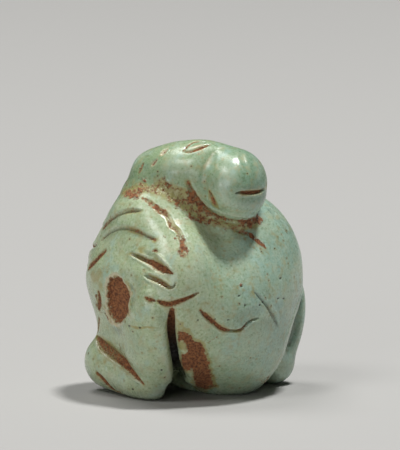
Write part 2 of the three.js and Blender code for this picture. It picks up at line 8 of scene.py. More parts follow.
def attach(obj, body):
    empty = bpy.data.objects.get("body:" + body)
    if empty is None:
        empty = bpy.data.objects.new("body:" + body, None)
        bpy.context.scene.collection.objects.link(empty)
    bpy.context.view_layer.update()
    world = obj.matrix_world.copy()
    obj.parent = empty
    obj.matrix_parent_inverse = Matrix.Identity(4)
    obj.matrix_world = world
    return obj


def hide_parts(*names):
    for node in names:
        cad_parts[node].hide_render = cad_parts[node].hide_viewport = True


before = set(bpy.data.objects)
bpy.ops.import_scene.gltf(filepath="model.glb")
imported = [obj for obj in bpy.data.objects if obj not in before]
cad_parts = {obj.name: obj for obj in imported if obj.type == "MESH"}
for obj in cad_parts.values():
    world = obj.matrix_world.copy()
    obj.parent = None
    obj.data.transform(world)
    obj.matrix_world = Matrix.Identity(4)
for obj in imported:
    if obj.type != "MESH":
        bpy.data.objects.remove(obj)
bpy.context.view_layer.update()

# Lengths are millimetres up to the point where a mesh, light or camera gets them in metres.
mm = 0.001
underside = np.array([0.81, 0, 0])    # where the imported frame's origin lies in the drawing's own frame

# The photograph's view
photo = {
    "turn": -30,              # degrees, the camera stands to the left of the carving's flank
    "rise": 8,                # degrees above level
    "high": 48.6,             # mm that the height of the picture takes in
    "centre": (0.43, 18.04),  # mm right of and above the drawing's origin
    "stoneDepth": 6,          # mm towards the camera, where the stone has its true size
    "lens": 600,
    "sensor": 36,
    "near": 0.01,             # metres
    "far": 20,
    "grazing": 0.05,          # how far the stone turns to the camera before it shows
}


def viewAxes(turn, rise):
    turn = math.radians(turn)
    rise = math.radians(rise)
    right = np.array([math.cos(turn), math.sin(turn), 0])
    toCamera = np.array([math.sin(turn) * math.cos(rise), -math.cos(turn) * math.cos(rise), math.sin(rise)])
    return right, np.cross(toCamera, right), toCamera


right, up, toCamera = viewAxes(photo["turn"], photo["rise"])


def placeOf(u, v, w):
    return u * right + v * up + w * toCamera - underside


def inView(points):
    drawn = points + underside
    return drawn @ right, drawn @ up, drawn @ toCamera


def addCamera():
    distance = photo["lens"] / photo["sensor"] * photo["high"]
    aim = placeOf(*photo["centre"], photo["stoneDepth"])
    bpy.ops.object.camera_add(location=[float(c) * mm for c in aim + toCamera * distance])
    camera = bpy.context.object
    camera.name = "photoCamera"
    camera.rotation_euler = Vector(toCamera).to_track_quat("Z", "Y").to_euler()
    camera.data.sensor_fit = "VERTICAL"
    camera.data.sensor_height = photo["sensor"]
    camera.data.sensor_width = photo["sensor"]
    camera.data.lens = photo["lens"]
    camera.data.clip_start = photo["near"]
    camera.data.clip_end = photo["far"]
    bpy.context.scene.camera = camera
    print("camera placed")


# Studio: ways are right, up and towards the camera, distances and widths are metres
studio = {
    "floorColour": "AEADAA",
    "floorRoughness": 0.9,
    "floorWidth": 9.0,
    "aimHeight": 12,     # mm
    "lights": {
        "keyLight": {"way": (0.22, 0.96, 0.08), "distance": 1.2, "width": 0.17, "power": 13},
        "topLight": {"way": (-0.25, 0.96, -0.12), "distance": 1.2, "width": 0.5, "power": 5},
        "leftLight": {"way": (-0.42, 0.72, 0.55), "distance": 1.2, "width": 0.36, "power": 3.3},
        "fillLight": {"way": (-0.34, 0.1, 0.94), "distance": 1.2, "width": 0.5, "power": 1.7},
        "sideLight": {"way": (-0.67, 0.05, 0.73), "distance": 1.2, "width": 0.1, "power": 0.9},
    },
    "skyColour": "B8BCC0",
    "skyStrength": 0.03,
}


def colour(hexCode):
    parts = [int(hexCode[i:i + 2], 16) / 255 for i in (0, 2, 4)]
    return tuple(c / 12.92 if c <= 0.04045 else ((c + 0.055) / 1.055) ** 2.4 for c in parts) + (1.0,)


# Adds a node and gives its first output. A setting that is another node's output is linked.
def addNode(tree, kind, settings):
    node = tree.nodes.new(kind)
    for name, value in settings.items():
        if hasattr(node, name):
            setattr(node, name, value)
            continue
        socket = next(s for s in node.inputs if s.enabled and name in (s.identifier, s.name))
        if isinstance(value, bpy.types.NodeSocket):
            tree.links.new(value, socket)
        else:
            socket.default_value = value
    return next((s for s in node.outputs if s.enabled), None)


def emptyMaterial(name):
    material = bpy.data.materials.new(name)
    material.use_nodes = True
    material.node_tree.nodes.clear()
    return material, material.node_tree


def addLight(name, light):
    direction = np.array(light["way"]) @ np.array([right, up, toCamera])
    direction = direction / np.linalg.norm(direction)
    aim = placeOf(0, studio["aimHeight"], 0) * mm
    bpy.ops.object.light_add(type="AREA", location=[float(c) for c in aim + direction * light["distance"]])
    lamp = bpy.context.object
    lamp.name = name
    lamp.rotation_euler = Vector(direction).to_track_quat("Z", "Y").to_euler()
    lamp.data.shape = "DISK"
    lamp.data.size = light["width"]
    lamp.data.energy = light["power"]


def setStage():
    bpy.ops.mesh.primitive_plane_add(size=studio["floorWidth"], location=(0, 0, 0))
    floor = bpy.context.object
    floor.name = "studioFloor"
    paper, tree = emptyMaterial("paleMattePaper")    # uncoated paper: pale and even, with no shine
    shader = addNode(tree, "ShaderNodeBsdfPrincipled",
                     {"Base Color": colour(studio["floorColour"]), "Roughness": studio["floorRoughness"]})
    addNode(tree, "ShaderNodeOutputMaterial", {"Surface": shader})
    floor.data.materials.append(paper)
    for name, light in studio["lights"].items():
        addLight(name, light)
    world = bpy.data.worlds.new("softRoom")
    bpy.context.scene.world = world
    world.use_nodes = True
    backdrop = next(n for n in world.node_tree.nodes if n.type == "BACKGROUND")
    backdrop.inputs["Color"].default_value = colour(studio["skyColour"])
    backdrop.inputs["Strength"].default_value = studio["skyStrength"]
    bpy.context.scene.view_settings.view_transform = "Standard"
    print("stage set with", len(studio["lights"]), "lights")


# The rough block: the solid's form with its facets rubbed out
block = {
    "weld": 0.01,          # mm, under which two points of the solid are one
    "grain": 0.3,          # mm between points
    "rubs": 22,            # passes that take the facets away
    "fineReach": 0.45,     # mm beyond a cut's edge, where the points lie twice as close
    "placeReach": 0.3,     # and beyond a sunk place's outline
    "fineRubs": 4,         # passes once the points lie closer
    "directionRubs": 6,    # passes that even out the directions in which the stone is cut
    "unevenness": 0.05,    # mm, left by hand grinding
    "unevenSize": 3.5,     # mm from one uneven place to the next
    "soleHeight": 0.07,    # mm, what is this low is set flat on the ground
    "hollowRubs": 16,      # passes against which a hollow or an edge is told
    "hollowDepth": 0.08,   # mm, where a hollow or an edge shows in full
}

# Cuts, each along a path in the photograph's view: mm right of and above the drawing's origin
#   width, depth: mm, width from edge to edge, depth below 0 for a ridge. Lists run evenly along the path.
#   earth, loose, ochre, cream and the painted shade: how much it holds of packed earth, crumbs, stain, pale
#   vein (on a raised lip partly a painted highlight) and near-black painted shade
#   lip, leftLip, rightLip: mm that both edges or one of them are raised
#   step: mm by which the stone on the left of the path's way stands above that on the right
#   twin: the cut is repeated across the flank or the head, where the photograph doesn't show it
#   twinFrom: mm beyond the middle where such a twin starts
headCuts = {
    "mouth": {"path": [(4.27, 21.47), (4.86, 21.49), (5.56, 21.51), (6.26, 21.54), (6.86, 21.64),
        (7.29, 21.86)], "width": [0.2, 0.42, 0.5, 0.5, 0.42, 0.3], "depth": 0.32,
        "earth": [0.2, 0.8, 0.9, 0.9, 0.7, 0.4], "rightLip": 0.12},
    "mouthCorner": {"path": [(7.54, 22.16), (7.59, 22.4), (7.58, 22.62)], "width": [0.2, 0.3, 0.2],
        "depth": 0.12, "earth": [0.3, 0.5, 0.3]},
    "upperEyelid": {"path": [(-1.3, 26.07), (-0.97, 26.46), (-0.54, 26.83), (0, 27), (0.65, 27.04),
        (1.13, 26.94)], "width": [0.22, 0.3, 0.32, 0.34, 0.3, 0.2], "depth": 0.14,
        "earth": [0.5, 0.6, 0.75, 0.8, 0.5, 0.1], "twin": "head"},
    "lowerEyelid": {"path": [(-1.4, 26.01), (-0.92, 25.92), (-0.32, 26.01), (0.32, 26.24), (0.97, 26.5),
        (1.6, 26.72)], "width": [0.25, 0.32, 0.36, 0.4, 0.38, 0.2], "depth": 0.15,
        "earth": [0.4, 0.5, 0.8, 1, 0.9, 0.3], "leftLip": 0.05, "twin": "head"},
    "eyeball": {"path": [(-0.65, 26.3), (0.11, 26.51), (0.86, 26.72)], "width": [0.3, 0.5, 0.3],
        "depth": -0.03, "cream": [0.5, 0.7, 0.5], "twin": "head"},
    "brow": {"path": [(2.48, 26.19), (3.24, 26.4), (4, 26.46), (4.82, 26.3)],
        "width": [0.5, 0.9, 0.9, 0.5], "depth": 0.07},
    "muzzleFold": {"path": [(4.86, 25.92), (5.08, 25.06), (5.35, 24.19), (5.62, 23.33)],
        "width": [0.6, 0.9, 0.9, 0.5], "depth": 0.06},
    "behindMuzzle": {"path": [(1.94, 25.92), (1.51, 25.06), (1.08, 23.87), (0.86, 22.57), (1.19, 21.17)],
        "width": [1.2, 1.6, 1.4, 1.2, 0.8], "depth": 0.14, "twin": "head"},
    "cheekVein": {"path": [(1.84, 25.92), (1.4, 25.16), (0.92, 24.3), (0.65, 23.65)],
        "width": [0.3, 0.5, 0.5, 0.3], "depth": 0.02, "cream": [0.3, 0.5, 0.5, 0.2]},
    "cheek": {"path": [(1.47, 21.55), (1.65, 21.01), (2.01, 20.3)], "width": [0.45, 0.75, 0.65],
        "depth": 0.16, "earth": [0.5, 0.72, 0.7], "ochre": [0.8, 1, 1]},
    "jawEdge": {"path": [(-0.65, 23.11), (-0.27, 22.46), (0.27, 21.38), (1.08, 20.36), (2.16, 19.63),
        (3.78, 19.12), (5.4, 18.9), (6.59, 19.17)], "width": [0.4, 0.6, 0.6, 0.6, 0.6, 0.55, 0.5, 0.4],
        "depth": -0.1, "cream": [0.1, 0.2, 0.3, 0.3, 0.3, 0.2, 0.1, 0]},
    "underJaw": {"path": [(-0.97, 22.68), (-0.59, 21.82), (0, 20.84), (0.76, 19.87), (1.73, 19.17),
        (3.02, 18.68), (4.54, 18.41), (6.05, 18.47)], "width": [0.5, 0.7, 0.9, 0.9, 0.8, 0.8, 0.8, 0.8],
        "depth": 0.2, "loose": [0.3, 0.7, 0.85, 0.5, 0.7, 0.42, 0.65, 0.9],
        "ochre": [0.6, 0.6, 0.6, 0.7, 0.7, 0.7, 0.6, 0.5]},
    "firstTick": {"path": [(-3.08, 26.29), (-3.37, 26.01), (-3.67, 25.64)], "width": [0.35, 0.6, 0.45],
        "depth": 0.13, "earth": [0.25, 0.5, 0.3], "cream": 0.8, "lip": 0.03, "twin": "head"},
    "secondTick": {"path": [(-4.21, 25.11), (-4.43, 24.84), (-4.72, 24.46)], "width": [0.3, 0.5, 0.35],
        "depth": 0.13, "earth": [0.3, 0.55, 0.35], "cream": 0.8, "lip": 0.03, "twin": "head"},
    "thirdTick": {"path": [(-5.7, 24.68), (-5.94, 24.14), (-6.2, 23.6)], "width": [0.3, 0.45, 0.3],
        "depth": 0.11, "earth": [0.4, 0.58, 0.45], "ochre": 0.5, "twin": "head"},
}
shoulderCuts = {
    "collar": {"path": [(-5.72, 20.89), (-5.24, 20.68), (-4.64, 20.2), (-3.83, 19.55), (-3.02, 18.85),
        (-2.61, 17.93), (-1.94, 17.39), (-1.53, 16.42), (-1.3, 15.66), (-1.36, 15.01)],
        "width": [0.3, 0.5, 0.6, 0.6, 0.5, 0.6, 0.55, 0.55, 0.7, 0.85], "depth": 0.1,
        "loose": [0.6, 0.4, 0.75, 0.5, 0.3, 0.35, 0.25, 0.6, 0.7, 0.8],
        "ochre": [0.5, 0.6, 0.6, 0.8, 0.9, 0.9, 0.8, 0.6, 0.5, 0.5], "lip": 0.03, "twin": "flank"},
    "upperBand": {"path": [(-10.15, 17.56), (-9.72, 18.08), (-9.18, 18.62), (-8.42, 19.12),
        (-7.61, 19.44), (-6.8, 19.57), (-5.86, 19.57)], "width": [0.4, 0.5, 0.5, 0.55, 0.5, 0.5, 0.3],
        "depth": 0.15, "earth": [0.6, 0.6, 0.55, 0.3, 0.25, 0.4, 0.3],
        "ochre": [0.3, 0.3, 0.3, 0.3, 0.4, 0.7, 0.5], "step": 0.24, "twin": "flank", "twinFrom": 4.5},
    "lowerBand": {"path": [(-10.26, 16.39), (-9.72, 16.96), (-9.1, 17.39), (-8.01, 17.71), (-6.8, 17.52),
        (-5.99, 17.24), (-5.18, 16.83), (-4.37, 16.42)],
        "width": [0.35, 0.45, 0.5, 0.5, 0.55, 0.5, 0.4, 0.4], "depth": 0.15,
        "earth": [0.3, 0.3, 0.2, 0.1, 0.3, 0.55, 0.3, 0.7],
        "ochre": [0.4, 0.3, 0.2, 0.3, 0.6, 0.9, 0.5, 0.7], "step": 0.24, "twin": "flank", "twinFrom": 4.5},
    "shortStroke": {"path": [(-4.67, 15.27), (-4.37, 15.31), (-4.13, 15.21)], "width": [0.25, 0.35, 0.25],
        "depth": 0.1, "earth": [0.6, 0.8, 0.6]},
    "chestStroke": {"path": [(-9.76, 15.27), (-10.26, 14.8), (-10.71, 14.32), (-11.23, 13.82),
        (-11.64, 13.35)], "width": [0.4, 0.6, 0.65, 0.65, 0.5], "depth": 0.24, "earth": [0.8, 1, 1, 1, 0.9],
        "twin": "flank"},
    "wingStroke": {"path": [(-6.94, 14.94), (-6.32, 14.69), (-5.51, 14.31), (-4.75, 13.99),
        (-4.05, 13.61), (-3.29, 13.23), (-2.51, 12.85)], "width": [0.35, 0.45, 0.55, 0.7, 0.85, 0.8, 0.2],
        "depth": 0.34, "earth": [0.1, 0.35, 0.6, 0.95, 1, 1, 0.9],
        "ochre": [0.8, 0.8, 0.6, 0.3, 0.2, 0.2, 0.2], "leftLip": 0.06, "rightLip": 0.06, "twin": "flank"},
    "wingHollow": {"path": [(-5.4, 14.9), (-4.54, 14.42), (-3.67, 13.77)], "width": [0.8, 1.1, 0.6],
        "depth": 0.14},
    # wingLip: the cream on this raised lip is a painted highlight
    "wingLip": {"path": [(-4.21, 14.96), (-3.56, 14.36), (-3.02, 13.72), (-2.54, 13.01)],
        "width": [0.3, 0.4, 0.4, 0.3], "depth": -0.12, "cream": [0.2, 0.4, 0.4, 0.2]},
    "featherStroke": {"path": [(-5.45, 12.64), (-4.81, 12.4), (-4.1, 12.1), (-3.4, 11.69), (-2.75, 11.34),
        (-2.38, 11.47), (-2.18, 11.82)], "width": [0.4, 0.55, 0.6, 0.55, 0.5, 0.35, 0.2], "depth": 0.26,
        "earth": [0, 0.2, 0.5, 0.7, 0.55, 0.3, 0.1], "ochre": [0.3, 0.7, 0.8, 0.9, 0.9, 0.6, 0.3],
        "lip": 0.08, "twin": "flank"},
    "lastFeatherStart": {"path": [(-5.31, 10.21), (-4.91, 10.04), (-4.37, 9.91)],
        "width": [0.35, 0.48, 0.3], "depth": 0.18, "earth": [0.8, 1, 0.6], "leftLip": 0.08},
    "lastFeather": {"path": [(-4.02, 9.87), (-3.56, 9.68), (-3.02, 9.57), (-2.48, 9.63), (-1.94, 9.81),
        (-1.35, 10.02), (-0.86, 10.22), (-0.27, 10.48), (0.27, 10.8)],
        "width": [0.4, 0.55, 0.62, 0.6, 0.55, 0.45, 0.4, 0.35, 0.2], "depth": 0.26,
        "earth": [0.8, 1, 1, 1, 1, 0.95, 0.9, 0.8, 0.4], "leftLip": 0.07, "rightLip": 0.06,
        "twin": "flank"},
}
legCuts = {
    "behindForeleg": {"path": [(-2.57, 8.96), (-2.65, 7.78), (-2.64, 6.7), (-2.44, 5.18), (-2.12, 3.46),
        (-1.67, 1.94), (-1.2, 0.32)], "width": [0.6, 0.9, 1, 1, 0.95, 1.4, 1.9],
        "depth": [0.5, 0.9, 1, 1, 1, 0.8, 0.5], "earth": [1, 1, 1, 0.8, 0.4, 0.2, 0.1],
        # near-black painted shade deep down in the groove
        "paintedShade": [0, 0.1, 0.45, 0.8, 1, 1, 0.8]},
    "upperPawSlit": {"path": [(-10.96, 6.16), (-10.58, 5.62), (-9.99, 4.97), (-9.18, 4.27), (-8.32, 3.62),
        (-7.51, 2.92), (-6.7, 2), (-6.05, 1.3), (-5.68, 0.89)],
        "width": [0.4, 0.9, 1.25, 1.2, 1.1, 1.0, 0.8, 0.6, 0.25], "depth": 0.34,
        "earth": [0.5, 0.75, 0.65, 0.6, 0.8, 0.95, 1, 1, 0.7],
        "ochre": [0.7, 0.9, 1, 1, 0.8, 0.5, 0.3, 0.3, 0.2], "rightLip": 0.12},
    "lowerPawSlit": {"path": [(-10.71, 1.94), (-9.96, 1.23), (-9.34, 0.54), (-8.64, 0.06), (-8.1, -0.14)],
        "width": [0.5, 0.75, 0.85, 0.7, 0.4], "depth": 0.26, "earth": [0.7, 1, 1, 1, 0.8], "leftLip": 0.05},
    "foreArmCrest": {"path": [(-5, 11.2), (-5.05, 10.2), (-4.95, 9), (-4.7, 7.8), (-4.5, 6.6)],
        "width": [1.6, 2.6, 2.8, 2.6, 1.6], "depth": -0.16},
    "legTick": {"path": [(-8.32, 5.18), (-8.23, 4.75), (-8.16, 4.32)], "width": 0.2, "depth": 0.06,
        "earth": 0.7},
    "chestSlit": {"path": [(-10.53, 10.8), (-10.42, 9.94), (-10.53, 8.96)], "width": [0.5, 0.75, 0.6],
        "depth": 0.15, "earth": [0.8, 1, 0.9], "ochre": 0.5},
    "chestStrip": {"path": [(-10.48, 7.99), (-10.55, 7.24), (-10.64, 6.48)], "width": [0.35, 0.45, 0.4],
        "depth": 0.1, "earth": [0.7, 0.9, 0.7], "ochre": 0.5},
    "boreSlit": {"path": [(-9.75, 8.48), (-9.56, 8.21), (-9.42, 7.88)], "width": [0.25, 0.35, 0.25],
        "depth": 0.1, "earth": 0.9},
    "foldedLegVein": {"path": [(-7.24, 7.24), (-6.16, 6.97), (-5.08, 7.13), (-4, 7.02)],
        "width": [0.15, 0.25, 0.2, 0.15], "depth": 0.03, "ochre": [0.5, 0.9, 0.8, 0.5]},
}
haunchCuts = {
    "haunchArc": {"path": [(0.46, 8.91), (0.76, 8.59), (1.3, 8.1), (1.84, 7.64), (2.38, 7.18),
        (2.97, 6.83), (3.94, 6.67), (4.81, 6.76), (5.24, 7.13), (5.86, 7.64), (6.8, 7.99)],
        "width": [0.35, 0.5, 0.55, 0.5, 0.5, 0.4, 0.3, 0.35, 0.35, 0.3, 0.25], "depth": 0.22,
        "earth": [0.6, 0.9, 1, 0.9, 1, 0.7, 0.4, 0.7, 0.5, 0.2, 0.1],
        "ochre": [0.3, 0.2, 0.2, 0.2, 0.3, 0.5, 0.7, 0.6, 0.4, 0.2, 0],
        "rightLip": 0.06, "twin": "flank"},
    "haunchFacet": {"path": [(4.75, 7.67), (5.83, 8.1), (7.02, 8.64)], "width": [1.4, 2.2, 1.4],
        "depth": 0.12, "twin": "flank"},
    "haunchLine": {"path": [(6.21, 10.91), (6.8, 10.31), (7.34, 9.72), (7.78, 9.2), (8.15, 8.59),
        (8.53, 7.94), (8.92, 7.13)], "width": [0.2, 0.35, 0.5, 0.5, 0.6, 0.6, 0.3], "depth": 0.14,
        "earth": [0.1, 0.1, 0.2, 0.3, 0.3, 0.3, 0.2], "leftLip": 0.09, "twin": "flank"},
    "scratch": {"path": [(1.34, 5.4), (1.78, 5.72), (2.25, 5.99)], "width": 0.16, "depth": 0.04,
        "earth": 0.55},
    "spineGroove": {"path": [(7.71, 19.98), (8.32, 19.28), (8.89, 18.51), (9.57, 17.68), (10.12, 16.85)],
        "width": [0.5, 0.8, 0.9, 0.8, 0.4], "depth": 0.12, "leftLip": 0.08, "twin": "flank"},
    "crudArc": {"path": [(2.05, 19.12), (2.81, 18.47), (3.89, 17.71), (4.75, 17.28), (5.62, 17.09),
        (6.48, 16.45), (6.97, 16.04), (7.45, 15.61)], "width": [0.6, 0.5, 0.4, 0.4, 0.4, 0.5, 0.45, 0.3],
        "depth": 0.06, "loose": [0.7, 0.5, 0.35, 0.45, 0.35, 0.8, 0.95, 0.8],
        "ochre": [0.8, 0.7, 0.6, 0.6, 0.5, 0.4, 0.3, 0.3]},
    "tailRim": {"path": [(11.61, 11.12), (11.02, 9.4), (10.21, 7.13), (9.5, 5.29)], "width": 0.4,
        "depth": -0.09, "twin": "flank"},
    # tailHollow: its near-black is painted shade in the hollow
    "tailHollow": {"path": [(11.61, 10.04), (11.18, 8.32), (10.69, 6.48), (10.04, 4.54)],
        "width": [0.8, 1.3, 1.4, 1.2], "depth": 0.3, "paintedShade": [0, 0.3, 0.4, 0.2], "twin": "flank"},
}

# The shape that all cuts share, in half widths from the middle of the cut unless mm is said
cutShape = {
    "reach": 1.8,          # mm beyond the edge that a cut changes
    "floor": 0.25,
    "rim": 1.15,
    "lipAt": 1.6,
    "lipSoft": 0.45,
    "endRise": 12,         # the cut rises over the first and the last twelfth of its path
    "endDepth": 0.4,       # share of the depth that is left at the ends
    "stepReach": 1.7,      # mm beyond the edge
    "stepFade": 1.1,       # mm
    "holds": {"earth": 1.15, "loose": 1.6, "ochre": 2.0, "cream": 1.1, "paintedShade": 1.3},
    "holdsFrom": 0.4,      # shares of the figures above, where each thins out
    "holdsTo": 1.2,
    "stainFrom": 0.9,
    "stainTo": 2.6,
}
rimStain = 0.85            # how strongly packed earth stains the stone beside it

# How a path is laid on the stone
layout = {
    "spacing": 0.12,       # mm between a route's points
    "start": 60,           # mm towards the camera, from where the stone is looked for
    "leap": 0.9,           # mm between two points, where the path has passed on to another form
    "twinFrom": 1.2,       # mm beyond the middle, where a cut gives no other figure
    "fewest": 3,           # points that a route must have
    "fewestTwin": 5,
}

# Shallow sunk places whose floor is packed with gritty earth, given by their outlines in the same view
sunkPlaces = {
    # bore: its pale cream rim is partly the stone's colour and partly a painted highlight on the raised lip
    "bore": {"outline": [(-9.27, 12.2), (-8.69, 12.57), (-8.05, 12.33), (-7.52, 11.56), (-7.19, 10.37),
                         (-7.28, 9.02), (-7.71, 7.99), (-8.37, 7.41), (-8.88, 7.88), (-9.29, 8.75),
                         (-9.48, 10.15), (-9.46, 11.34)],
             "depth": 0.32, "wall": 0.3, "grit": 0.07, "lip": 0.12, "cream": 0.7},
    "wornPlace": {"outline": [(-1.84, 6.52), (-0.86, 6.52), (-0.11, 5.72), (0.65, 5.01), (1.08, 3.89),
                              (1.34, 2.73), (1.62, 1.62), (2.1, 0.76), (1.04, 0.32), (0.11, 0.46),
                              (-0.11, 1.19), (-0.25, 2.38), (-1.3, 2.48), (-1.62, 3.89), (-0.97, 4.32),
                              (-1, 5.08), (-1.77, 5.77)],
                  "depth": 0.16, "wall": 0.3, "grit": 0.08, "lip": 0.0, "cream": 0.0},
}
sunkShape = {              # mm inwards from the outline, unless another thing is said
    "reach": -0.9,
    "wander": 0.3,         # mm that the outline wanders
    "wanderSize": 0.8,     # mm from one bend of it to the next
    "gritSize": 0.28,      # mm
    "wallFrom": -0.1,
    "lipAt": -0.3,
    "lipSoft": 0.2,
    "earthFrom": -0.25,
    "earthTo": 0.15,
    "stainFrom": -0.7,
    "stainTo": -0.1,
    # cream ring along a sunk place's rim, partly a painted highlight
    "creamAt": -0.2,
    "creamSoft": 0.17,
}

# Where the crease round the neck holds crumbs of earth over an ochre stain
neckCrumbs = {
    "outline": [(-8.64, 21.17), (-8.1, 22.03), (-6.8, 22.46), (-6.05, 23.11), (-4.75, 22.57), (-3.56, 23.22),
                (-2.16, 22.46), (-0.86, 22.25), (0, 20.84), (1.08, 19.66), (2.81, 18.79), (4.75, 18.63),
                (6.7, 18.74), (7.13, 18.14), (6.48, 17.39), (4.75, 17.06), (2.81, 17.5), (1.08, 17.82),
                (-0.22, 18.36), (-1.3, 19.33), (-2.59, 20.09), (-3.89, 20.84), (-5.4, 21.17), (-7.13, 20.74)],
    "soft": 0.7,           # mm over which they thin out
    "earth": 0.4,
    "ochre": 0.85,
    "size": 0.5,           # mm across a crumb
    "proud": 0.05,         # mm that a crumb stands above the stone
    "broken": 1.2,         # how far they are broken up, and from where to where one stands up
    "from": 0.3,
    "to": 0.95,
}

# Stains and crumbs that lie on the surface: across, up, radius in mm and strength
earthSpots = [
    (-7.24, 21.22, 0.5, 0.85), (-6.64, 21.17, 0.55, 0.9), (-6.26, 21.44, 0.4, 0.8),
    (-3.29, 22.73, 0.35, 0.85), (-2.92, 22.36, 0.4, 0.85), (-5.72, 22.84, 0.3, 0.7),
    (-5.83, 22.25, 0.3, 0.75), (-5.99, 21.65, 0.35, 0.8), (-4.48, 21.49, 0.35, 0.65),
    (-3.89, 21.47, 0.3, 0.6), (-0.7, 21.55, 0.4, 0.9), (-0.43, 20.9, 0.4, 0.95),
    (-0.16, 20.25, 0.35, 0.85), (-0.81, 18.99, 0.35, 0.75), (-0.43, 18.79, 0.3, 0.7),
    (0.54, 18.71, 0.5, 0.9), (1.08, 18.41, 0.5, 0.95), (5.08, 18.31, 0.5, 0.8), (5.83, 18.25, 0.6, 0.95),
    (6.64, 18.58, 0.5, 0.9), (-1.36, 15.07, 0.4, 0.8), (-10.58, 10.26, 0.3, 0.8), (-10.42, 9.5, 0.3, 0.9),
    (-3.46, 16.69, 0.16, 0.8), (-2.38, 16.56, 0.16, 0.8), (4.89, 11.45, 0.2, 0.95), (7.56, 1.19, 0.7, 0.5),
    (2.1, 2.43, 0.16, 0.8), (1.73, 1.9, 0.16, 0.8), (-7.45, 22.57, 0.3, 0.6), (-5.18, 22.14, 0.3, 0.55),
    (-2.16, 21.87, 0.35, 0.6), (-1.62, 21.17, 0.35, 0.6), (-2.81, 21.17, 0.3, 0.5),
    (-1.94, 20.2, 0.3, 0.55), (-1.08, 19.76, 0.3, 0.6),
]
ochreSpots = [
    (-10.85, 12.37, 0.8, 1), (-10.37, 11.77, 0.5, 0.8), (-9.9, 13.4, 0.6, 0.5),
    (-9.9, 9.2, 0.5, 0.7), (-6.16, 17.39, 0.4, 0.7),
    (-4.37, 16.42, 0.4, 0.6), (-9.72, 3.67, 0.8, 0.6), (-1.51, 5.08, 0.55, 1), (-1.73, 7.24, 0.7, 0.6),
    (5.62, 10.91, 0.8, 0.45), (6.59, 10.26, 0.5, 0.35), (0.97, 14.04, 0.9, 0.3), (0.43, 11.56, 0.9, 0.3),
    (1.08, 9.29, 0.7, 0.3), (7.56, 1.4, 0.9, 0.5), (-5.18, 8.64, 0.6, 0.25), (-4.75, 6.91, 0.6, 0.3),
    (-1.94, 18.36, 0.6, 0.6), (1.94, 15.55, 1, 0.3), (3.24, 16.31, 1, 0.4),
    (-5.9, 15.1, 0.7, 0.5), (-4.9, 14.9, 0.5, 0.5), (2.7, 11.9, 0.8, 0.4), (4, 11.2, 0.7, 0.45),
    (-3.2, 7.4, 0.8, 0.4), (-2.2, 13.4, 0.7, 0.35), (6.2, 12.4, 0.6, 0.3), (-7.9, 5.2, 0.7, 0.35),
]
creamSpots = [
    (7.51, 21.96, 0.25, 0.6), (-0.65, 23.98, 0.3, 0.3), (1.08, 24.73, 0.4, 0.4),
]
bareSpots = [
    (-1.51, 5.08, 0.5, 1),
]
pits = [
    (9.14, 12.31), (8.9, 10.11), (9.48, 10.11), (7.28, 9.72), (6.89, 9.44), (5.29, 9.44), (3.46, 7.83),
    (2.05, 7.93), (0.22, 7.84), (4.63, 10.43), (4.89, 11.45), (-6.07, 6.97), (-3.69, 2.44), (-6.86, 0.27),
    (-7.24, 7.18),
]
spotShape = {"wander": 0.35, "wanderSize": 1.1, "elsewhere": 50}    # mm, elsewhere gives an unlike wave
pitShape = {
    "radius": 0.12,        # mm, and the figures below are in radii
    "depth": 0.12,         # mm
    "floor": 0.3,
    "rim": 1.4,
    "stainFrom": 0.5,
    "stainTo": 1.3,
    "reach": 3,            # where the points lie twice as close
}

# The head's stone is a little darker and greener, and the left of the body a little yellower than the rump.
headStone = {"nape": (-6.6, 3.8, 24.1), "turn": -50, "length": 13, "radius": 4.2, "soft": 1.4}
warmStone = {"from": 7.5, "to": -1.0, "wander": 2, "wanderSize": 6}    # mm right of the drawing's origin


def curveThrough(points, spacing):
    points = np.array(points, float)
    ends = np.vstack([2 * points[0] - points[1], points, 2 * points[-1] - points[-2]])
    run = []
    for a, b, c, d in zip(ends, ends[1:], ends[2:], ends[3:]):
        steps = max(2, int(np.linalg.norm(c - b) / spacing))
        for t in np.arange(steps) / steps:
            bend = (2 * a - 5 * b + 4 * c - d) * t * t + (3 * b - a - 3 * c + d) * t ** 3
            run.append(0.5 * (2 * b + (c - a) * t + bend))
    run.append(points[-1])
    return np.array(run)


def spread(values, share):
    values = np.atleast_1d(np.array(values, float))
    if len(values) == 1:
        return np.full_like(share, values[0])
    return np.interp(share, np.linspace(0, 1, len(values)), values)


def smoothStep(low, high, value):
    t = np.clip((value - low) / (high - low), 0, 1)
    return t * t * (3 - 2 * t)


def swell(value, middle, soft):
    return np.exp(-((value - middle) / soft) ** 2)


def takePoints(mesh):
    flat = np.empty(len(mesh.vertices) * 3)
    mesh.vertices.foreach_get("co", flat)
    return flat.reshape(-1, 3) / mm


def takeNormals(mesh):
    flat = np.empty(len(mesh.vertices) * 3)
    mesh.vertex_normals.foreach_get("vector", flat)
    return flat.reshape(-1, 3)


def givePoints(mesh, points):
    mesh.vertices.foreach_set("co", (points * mm).ravel())
    mesh.update()


def edgesOf(mesh):
    flat = np.empty(len(mesh.edges) * 2, dtype=np.int32)
    mesh.edges.foreach_get("vertices", flat)
    return flat.reshape(-1, 2)


def rubbed(values, edges, passes):
    count = len(values)
    ways = np.bincount(edges.ravel(), minlength=count)[:, None]
    for _ in range(passes):
        near = np.zeros_like(values)
        for axis in range(values.shape[1]):
            near[:, axis] = (np.bincount(edges[:, 0], values[edges[:, 1], axis], count)
                             + np.bincount(edges[:, 1], values[edges[:, 0], axis], count))
        values = 0.5 * values + 0.5 * near / np.maximum(ways, 1)
    return values


def treeOf(mesh):
    points = takePoints(mesh)
    faces = [tuple(face.vertices) for face in mesh.polygons]
    return BVHTree.FromPolygons([Vector(p) for p in points], faces)


